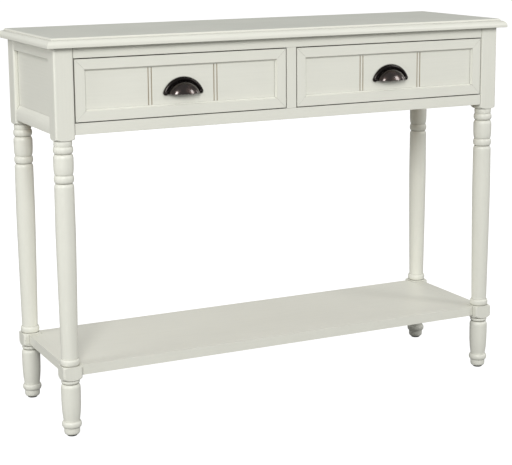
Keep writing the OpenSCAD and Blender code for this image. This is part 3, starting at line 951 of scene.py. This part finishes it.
@dataclass
class TurnedLeg:
    """One leg: square stock with a turned shaft, collar and foot between its blocks."""

    side: Side
    row: Row
    edge_radius: float = 4 * MM
    block_drop: float = 10.5 * MM
    pin_radius: float = 1.5 * MM
    pin_length: float = 14 * MM
    segments: int = 128

    def __post_init__(self) -> None:
        """Reads the leg's sizes from the frame."""
        self.node = f"leg_{self.row.name.lower()}_{self.side.name.lower()}"
        low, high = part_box(self.node)
        self.centre = Vector(((low.x + high.x) / 2, (low.y + high.y) / 2, 0.0))
        self.half = (high.x - low.x) / 2
        self.foot_z = low.z
        self.top = high.z
        shelf_low, shelf_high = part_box("shelf_panel")
        self.shelf_low = shelf_low.z
        self.block_low = shelf_low.z - 6 * MM
        self.block_high = shelf_high.z + 2.5 * MM
        self.apron_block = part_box("front_bottom_rail")[0].z - self.block_drop
        glide_low, glide_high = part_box("foot_glides")
        self.glide_radius = glide_high.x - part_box("leg_front_right")[1].x + self.half
        self.full = self.half - 0.1 * MM
        self.neck = self.half * 0.87
        self.waist = self.half * 0.835
        self.ankle = self.half * 0.82

    def shoulders(self, low: float, high: float, low_round: float, high_round: float) -> list[Point]:
        """Outline of a square block whose corners are turned off at its ends.

        Args:
            low: The block's lowest height.
            high: Its highest height.
            low_round: The height of the lower shoulder.
            high_round: The height of the upper shoulder, or 0 for a square end.

        Returns:
            The outline, wider than the stock where the block stays square.
        """
        corner, end = self.half * math.sqrt(2), self.neck + 0.5 * MM
        lower = arc((end, low + low_round), (corner - end, low_round), -90, 0, 16)
        if not high_round:
            return [*lower, (corner, high)]
        return [*lower, *arc((end, high - high_round), (corner - end, high_round), 0, 90, 10)]

    def foot(self) -> list[Point]:
        """Outline of the foot, with the glide pin's hole."""
        z0, top = self.foot_z, self.shelf_low - 14.5 * MM
        full, neck, ankle = self.full, self.neck, self.ankle
        start, end = z0 + 30.5 * MM, top - 9 * MM
        calf = full - 0.3 * MM
        rise = [(calf - (calf - ankle) * (1 - i / 20) ** 3.5, i / 20) for i in range(21)]
        return [
            (0.0, z0 + self.pin_length),
            (self.pin_radius, z0 + self.pin_length),
            (self.pin_radius, z0),
            (self.glide_radius + 0.5 * MM, z0),
            *arc((ankle - 5.4 * MM, z0 + 6.5 * MM), (5 * MM, 6.5 * MM), -80, 0),
            (ankle - 0.4 * MM, z0 + 14.5 * MM),
            *bead(z0 + 15 * MM, z0 + 28 * MM, ankle, full),
            *[(radius, start + (end - start) * share) for radius, share in rise],
            *arc((full - 6.3 * MM, top - 9 * MM), (6 * MM, 9 * MM), 10, 80),
            (neck - 1.5 * MM, top + 0.5 * MM),
            *bead(top + MM, self.block_low - MM, neck - 0.5 * MM, neck + 1.2 * MM),
        ]

    def shaft(self) -> list[Point]:
        """Outline of the shaft, from its collar to the rings under the upper block."""
        full, neck, waist = self.full, self.neck, self.waist
        collar, top = self.block_high + 14 * MM, self.apron_block - 84.5 * MM
        peak = collar + 0.72 * (top - collar)
        heights = [collar + (top - 10 * MM - collar) * i / 40 for i in range(41)]

        def radius(z: float) -> float:
            """The shaft's radius, which swells to a peak in its upper part."""
            share = 1.0 if z < peak else 0.5
            return full - share * (full - waist) * (abs(z - peak) / (peak - collar)) ** 1.25

        return [
            *arc((neck, self.block_high + 6.5 * MM), (full - neck, 6 * MM), -90, 0),
            *arc((waist + 0.3 * MM, self.block_high + 8 * MM), (full - waist - 0.3 * MM, 6 * MM), 0, 90),
            *[(radius(z), z) for z in heights],
            *arc((full - 5 * MM, top - 9 * MM), (4.6 * MM, 9 * MM), 10, 80),
            (neck - 0.4 * MM, top + 0.5 * MM),
            *bead(top + MM, top + 15.6 * MM, neck, full),
            (neck - 0.4 * MM, top + 16.4 * MM),
            *arc((neck, top + 36 * MM), (full - neck, 19 * MM), -85, 0),
            *arc((full - 5 * MM, top + 49 * MM), (5 * MM, 9 * MM), 0, 80),
            (neck - 0.4 * MM, top + 58.6 * MM),
            *bead(top + 59.4 * MM, top + 72.4 * MM, neck, full),
            (neck, top + 73 * MM),
            *bead(top + 73.6 * MM, top + 83.6 * MM, neck, full - 1.6 * MM),
        ]

    def profile(self) -> list[Point]:
        """The whole leg's outline, from the foot's hole to its top."""
        return [
            *self.foot(),
            *self.shoulders(self.block_low, self.block_high, 15 * MM, 5 * MM),
            *self.shaft(),
            *self.shoulders(self.apron_block, self.top, 9 * MM, 0),
            (0.0, self.top),
        ]

    def sockets(self) -> list[bpy.types.Object]:
        """Solids of the sockets for the rails' tenons and the shelf's dowel in this leg."""
        side, row = self.side.name.lower(), self.row.name.lower()
        rails = [f"side_top_rail_{side}", f"side_bottom_rail_{side}", f"shelf_rail_{side}"]
        rails += ["front_top_rail", "front_bottom_rail"] if self.row is Row.FRONT else ["back_apron"]
        tools = []
        for rail in [*rails, "shelf_dowels"]:
            inside = [
                v.co
                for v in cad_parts[rail].data.vertices
                if all(abs(v.co[i] - self.centre[i]) < self.half - 0.5 * MM for i in (0, 1))
            ]
            low = Vector(min(p[i] for p in inside) for i in range(3))
            high = Vector(max(p[i] for p in inside) for i in range(3))
            along = 1 if rail in rails[:3] else 0
            inward = self.row if along else self.side
            face = self.centre[along] - inward * (self.half + MM)
            if inward > 0:
                low[along] = face
            else:
                high[along] = face
            name = f"socket_{rail}_{row}"
            shape = self.round_socket if rail == "shelf_dowels" else block_mesh
            tools.append(new_object(name, shape(name, low, high)))
        return tools

    @staticmethod
    def round_socket(name: str, low: Vector, high: Vector) -> bpy.types.Mesh:
        """A round bar along X that fills a box.

        Args:
            name: The mesh's name.
            low: The box's lowest corner.
            high: The box's highest corner.

        Returns:
            The bar's mesh.
        """
        mesh = bpy.data.meshes.new(name)
        work = bmesh.new()
        radius = (high.z - low.z) / 2
        bmesh.ops.create_cone(
            work, cap_ends=True, segments=48, radius1=radius, radius2=radius, depth=high.x - low.x
        )
        bmesh.ops.rotate(work, matrix=Matrix.Rotation(math.pi / 2, 3, "Y"), verts=work.verts)
        bmesh.ops.translate(work, vec=(low + high) / 2, verts=work.verts)
        work.to_mesh(mesh)
        work.free()
        return mesh

    def build(self, lathe: ShapeTree) -> None:
        """Turns the leg and cuts its sockets.

        Args:
            lathe: The lathe's geometry tree.
        """
        name = f"{self.node}_turned"
        piece = new_object(name, profile_mesh(name, self.profile()))
        lathe.shape(
            piece,
            Palette.get(BODY_PAINT, Grain.ALONG_Z),
            Segments=self.segments,
            Stock_half_width=self.half,
            Stock_edge_radius=self.edge_radius,
            Centre=list(self.centre),
        )
        face_outwards(piece)
        mortise(piece, self.sockets())
        piece.data.shade_smooth()
        piece.data.set_sharp_from_angle(angle=math.radians(38))
        fit(piece, Body.ROOT, BODY_PAINT.slot, self.node)


@dataclass
class Apron:
    """The rails, stile, panels and hidden drawer supports under the top."""

    edge: float = 0.7 * MM

    def build(self) -> None:
        """Makes every board of the apron."""
        for node in ("front_top_rail", "front_bottom_rail", "back_apron"):
            Board(node, BODY_PAINT, Grain.ALONG_X, self.edge).build()
        Board("centre_stile", BODY_PAINT, Grain.ALONG_Z, self.edge).build()
        for side in Side:
            for part in ("side_top_rail", "side_panel", "side_bottom_rail"):
                Board(f"{part}_{side.name.lower()}", BODY_PAINT, Grain.ALONG_Y, self.edge).build()
        for place in ("left", "centre", "right"):
            for part in ("runner", "guide", "kicker"):
                Board(f"{part}_{place}", PINE, Grain.ALONG_Y, self.edge).build()
        Board("drawer_stops", PINE, Grain.ALONG_X, self.edge).build()


@dataclass
class Shelf:
    """The low shelf, its side rails and its dowels."""

    edge: float = 1.6 * MM

    def build(self) -> None:
        """Makes the shelf."""
        Board("shelf_panel", BODY_PAINT, Grain.ALONG_X, self.edge).build()
        for side in Side:
            Board(f"shelf_rail_{side.name.lower()}", BODY_PAINT, Grain.ALONG_Y, self.edge).build()
        dress_node("shelf_dowels", Palette.get(PINE, Grain.ALONG_X))


def dress_node(node: str, material: bpy.types.Material) -> None:
    """Gives a frame node that keeps its own shape a finished material.

    Args:
        node: The frame node.
        material: The material.
    """
    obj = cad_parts[node]
    for slot in obj.material_slots:
        slot.link = "OBJECT"
        slot.material = material
    LOG.info("%-34s keeps its shape", node)


# ---------- Drawers ----------


@dataclass
class CupPull:
    """A cast cup pull: half a hollow dome with a rolled rim and a round lug at each screw."""

    node: str
    body: Body
    rim_radius: float = 41 * MM
    rim_reach: float = 5.5 * MM
    rim_width: float = 9 * MM
    rim_height: float = 5.5 * MM
    rim_base: float = 1.5 * MM
    depth: float = 24 * MM
    wall: float = 2.5 * MM
    fullness: float = 0.84
    spacing: float = 76 * MM
    lug_radius: float = 5.25 * MM
    lug_height: float = 7 * MM
    cup_drop: float = 2.5 * MM
    grain_size: float = 0.45 * MM
    segments: int = 160
    stock: float = 1.0

    def __post_init__(self) -> None:
        """Finds the pull's axis from the frame."""
        low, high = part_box(self.node)
        outer = self.rim_radius + self.rim_reach
        self.centre = Vector(((low.x + high.x) / 2, high.y, high.z - outer))
        self.cut = math.sqrt(self.rim_radius**2 - (self.spacing / 2) ** 2)
        self.cup_radius = outer - self.rim_width

    def dome(self, radius: float, height: float, start: float, end: float) -> list[Point]:
        """Points on a dome that is fuller than an ellipse.

        Args:
            radius: Its radius.
            height: Its height.
            start: The first angle in degrees.
            end: The last angle in degrees.

        Returns:
            The points, both ends included.
        """
        steps = 40
        angles = [math.radians(start + (end - start) * i / steps) for i in range(steps + 1)]
        return [
            (
                radius * max(math.cos(a), 0.0) ** self.fullness,
                height * max(math.sin(a), 0.0) ** self.fullness,
            )
            for a in angles
        ]

    def cup_section(self) -> list[Point]:
        """Section of the cup: the radius and the height over the panel."""
        return [
            *self.dome(self.cup_radius, self.depth, 0, 90),
            *self.dome(self.cup_radius - self.wall, self.depth - self.wall, 90, 0),
        ]

    def rim_section(self) -> list[Point]:
        """Section of the rolled rim."""
        outer, roll = self.rim_radius + self.rim_reach, self.rim_width / 2
        return [
            (self.cup_radius - MM, 0.0),
            (outer, 0.0),
            *arc((outer - roll, self.rim_base), (roll, self.rim_height - self.rim_base), 0, 180, 24),
            (self.cup_radius - MM, self.rim_base),
        ]

    def turned(self, section: list[Point], above: float, lathe: ShapeTree) -> bmesh.types.BMesh:
        """Turns a section about the pull's axis and keeps what lies above a height over that axis.

        Args:
            section: The section's corners.
            above: The height.
            lathe: The lathe's geometry tree.

        Returns:
            The turned solid, cut off flat.
        """
        piece = new_object("turned", profile_mesh("turned", [*section, section[0]]))
        lathe.shape(
            piece,
            Palette.get(BRONZE),
            Segments=self.segments,
            Stock_half_width=self.stock,
            Stock_edge_radius=MM,
        )
        piece.data.transform(Matrix.Translation(self.centre) @ Matrix.Rotation(math.pi / 2, 4, "X"))
        work = bmesh.new()
        work.from_mesh(piece.data)
        bmesh.ops.remove_doubles(work, verts=work.verts, dist=WELD)
        saw(work, self.centre + Vector((0, 0, above)), Vector((0, 0, -1)))
        bpy.data.objects.remove(piece)
        return work

    def lug(self, sign: Side) -> bmesh.types.BMesh:
        """The lug at one screw, a closed dome."""
        work = bmesh.new()
        bmesh.ops.create_uvsphere(work, u_segments=40, v_segments=24, radius=1.0)
        bmesh.ops.scale(work, vec=(self.lug_radius, self.lug_height, self.lug_radius), verts=work.verts)
        middle = self.centre + Vector((sign * self.spacing / 2, 0.0, self.cut))
        bmesh.ops.translate(work, vec=middle, verts=work.verts)
        saw(work, middle, Vector((0, 1, 0)))
        return work

    def build(self, lathe: ShapeTree) -> None:
        """Casts the pull: its parts overlap, and one fine skin over them all joins them.

        Args:
            lathe: The lathe's geometry tree.
        """
        casting = bmesh.new()
        loose = bpy.data.meshes.new("loose")
        for part in (
            self.turned(self.cup_section(), self.cut - self.cup_drop, lathe),
            self.turned(self.rim_section(), self.cut, lathe),
            *(self.lug(sign) for sign in Side),
        ):
            bmesh.ops.recalc_face_normals(part, faces=part.faces)
            part.to_mesh(loose)
            part.free()
            casting.from_mesh(loose)
        bpy.data.meshes.remove(loose)
        piece = new_object(f"{self.node}_casting", bpy.data.meshes.new(self.node))
        casting.to_mesh(piece.data)
        casting.free()
        remesh = piece.modifiers.new("cast_skin", "REMESH")
        remesh.mode = "VOXEL"
        remesh.voxel_size = self.grain_size
        smooth = piece.modifiers.new("tumbled", "SMOOTH")
        smooth.factor = 0.5
        smooth.iterations = 6
        settle(piece)
        face_outwards(piece)
        piece.data.materials.clear()
        piece.data.materials.append(Palette.get(BRONZE))
        piece.data.shade_smooth()
        fit(piece, self.body, BRONZE.slot, self.node)


@dataclass
class Drawer:
    """One drawer: a mitred frame round a beadboard panel, a box behind it and a cup pull."""

    side: Side
    frame_edge: float = 0.8 * MM
    panel_edge: float = 0.3 * MM
    box_edge: float = 0.9 * MM
    groove_depth: float = 1.6 * MM
    groove_lip: float = 0.4 * MM

    def __post_init__(self) -> None:
        """Finds the drawer's body and the start of its nodes' names."""
        self.body = Body(f"drawer_{self.side.name.lower()}")
        self.prefix = self.body.value

    def front(self) -> None:
        """Makes the drawer's front."""
        for part in ("top", "bottom"):
            Board(f"{self.prefix}_frame_{part}", BODY_PAINT, Grain.ALONG_X, self.frame_edge).build(self.body)
        for part in ("outer", "inner"):
            Board(f"{self.prefix}_frame_{part}", BODY_PAINT, Grain.ALONG_Z, self.frame_edge).build(self.body)
        panel = Board(f"{self.prefix}_panel", BODY_PAINT, Grain.ALONG_X, self.panel_edge).build(self.body)
        # The groove bottoms take the darker tan: painted shade in the grooves.
        panel.data.materials.append(Palette.get(GROOVE_SHADE, Grain.ALONG_Z))
        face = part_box(f"{self.prefix}_panel")[0].y
        for polygon in panel.data.polygons:
            if self.groove_lip < polygon.center.y - face < self.groove_depth + 0.1 * MM:
                polygon.material_index = 1

    def box(self) -> None:
        """Makes the boards of the drawer's box."""
        for part, finish, grain in (
            ("box_front", PINE, Grain.ALONG_X),
            ("back", PINE, Grain.ALONG_X),
            ("side_outer", PINE, Grain.ALONG_Y),
            ("side_inner", PINE, Grain.ALONG_Y),
            ("bottom", PLY, Grain.ALONG_X),
        ):
            Board(f"{self.prefix}_{part}", finish, grain, self.box_edge).build(self.body)

    def build(self, lathe: ShapeTree, screws: ShapeTree) -> None:
        """Makes the drawer.

        Args:
            lathe: The lathe's geometry tree.
            screws: The screws' geometry tree.
        """
        self.front()
        self.box()
        CupPull(f"{self.prefix}_pull", self.body).build(lathe)
        backwards = Vector((0, 1, 0))
        ScrewSet(f"{self.prefix}_pull_screws", 2, 1, (0, 2), backwards).build(screws, self.body)
        ScrewSet(f"{self.prefix}_front_screws", 2, 2, (0, 2), backwards).build(screws, self.body)


# ---------- Studio ----------


@dataclass(frozen=True)
class SoftBox:
    """A large soft light that faces the table."""

    name: str
    place: tuple[float, float, float]
    width: float
    height: float
    power: float
    mirrored: bool = True

    def build(self, aim: Vector) -> None:
        """Hangs the light.

        Args:
            aim: The point that it faces.
        """
        light = bpy.data.lights.new(self.name, "AREA")
        light.shape = "RECTANGLE"
        light.size = self.width
        light.size_y = self.height
        light.energy = self.power
        obj = bpy.data.objects.new(self.name, light)
        bpy.context.scene.collection.objects.link(obj)
        obj.location = self.place
        obj.rotation_mode = "QUATERNION"
        obj.rotation_quaternion = (aim - Vector(self.place)).to_track_quat("-Z", "Y")
        obj.visible_glossy = self.mirrored


@dataclass
class Studio:
    """A pale floor, soft light from the front and a camera to the left of the table."""

    camera_place: tuple[float, float, float] = (-1.347, -2.744, 1.016)
    yaw: float = 25.98
    pitch: float = 10.4
    roll: float = -0.46
    lens: float = 99.8
    shift_y: float = -0.10
    floor_width: float = 60.0
    floor_colour: Colour = chip(125, 125, 124)
    floor_glow: float = 0.95
    room_light: float = 0.45
    lights: tuple[SoftBox, ...] = (
        SoftBox("key_light", (-2.4, -4.1, 2.7), 1.2, 1.8, 134.0),
        SoftBox("fill_light", (3.1, -3.5, 2.1), 1.0, 1.6, 54.0),
        SoftBox("left_light", (-4.6, -0.5, 1.6), 1.4, 1.6, 62.0),
        SoftBox("right_light", (4.6, -0.8, 1.4), 0.7, 1.6, 16.0),
        SoftBox("back_light", (0.6, 4.4, 2.6), 2.6, 1.0, 60.0, mirrored=False),
    )

    def floor(self) -> None:
        """Lays the floor."""
        half = self.floor_width / 2
        corners = [(-half, -half, 0), (half, -half, 0), (half, half, 0), (-half, half, 0)]
        mesh = mesh_of("floor", corners, (), [(0, 1, 2, 3)])
        bench = ShaderBench("studio_floor", self.floor_colour)
        bench.set(Base_Color=self.floor_colour, Roughness=0.9, Emission_Color=(1.0, 1.0, 1.0, 1.0))
        seen = bench.add("ShaderNodeLightPath").outputs["Is Camera Ray"]
        bench.join(bench.math("MULTIPLY", seen, self.floor_glow), "Emission Strength")
        mesh.materials.append(bench.material)
        new_object("studio_floor", mesh)

    def room(self) -> None:
        """Lights the room evenly, and shows a white backdrop past the floor."""
        world = bpy.data.worlds.new("studio_room")
        bpy.context.scene.world = world
        world.use_nodes = True
        bench = NodeBench(world.node_tree)
        seen = bench.add("ShaderNodeLightPath").outputs["Is Camera Ray"]
        strength = bench.math("MULTIPLY_ADD", seen, 1.0 - self.room_light, self.room_light)
        background = world.node_tree.nodes["Background"]
        background.inputs["Color"].default_value = (1.0, 1.0, 1.0, 1.0)
        world.node_tree.links.new(strength, background.inputs["Strength"])

    def camera(self) -> None:
        """Stands the camera."""
        lens = bpy.data.cameras.new("studio_camera")
        lens.sensor_width = 36.0
        lens.lens = self.lens
        lens.shift_y = self.shift_y
        obj = bpy.data.objects.new("studio_camera", lens)
        bpy.context.scene.collection.objects.link(obj)
        yaw, pitch, roll = (math.radians(a) for a in (self.yaw, self.pitch, self.roll))
        forward = Vector((math.sin(yaw) * math.cos(pitch), math.cos(yaw) * math.cos(pitch), -math.sin(pitch)))
        obj.location = self.camera_place
        obj.rotation_mode = "QUATERNION"
        obj.rotation_quaternion = forward.to_track_quat("-Z", "Y") @ Quaternion((0, 0, 1), roll)
        bpy.context.scene.camera = obj

    def build(self) -> None:
        """Sets up the studio."""
        self.camera()
        self.floor()
        self.room()
        low, high = CAD_BOX
        for light in self.lights:
            light.build((low + high) / 2)
        bpy.context.scene.view_settings.view_transform = "Standard"


def main() -> None:
    """Builds the studio and then the table, assembly by assembly."""
    logging.basicConfig(level=logging.INFO, format="%(message)s")
    Studio().build()
    lathe, screws = lathe_tree(), screw_tree()
    TopBoard().build(screws)
    for side in Side:
        for row in Row:
            TurnedLeg(side, row).build(lathe)
    dress_node("foot_glides", Palette.get(NYLON))
    Apron().build()
    Shelf().build()
    for side in Side:
        Drawer(side).build(lathe, screws)


if __name__ == "__main__":
    main()
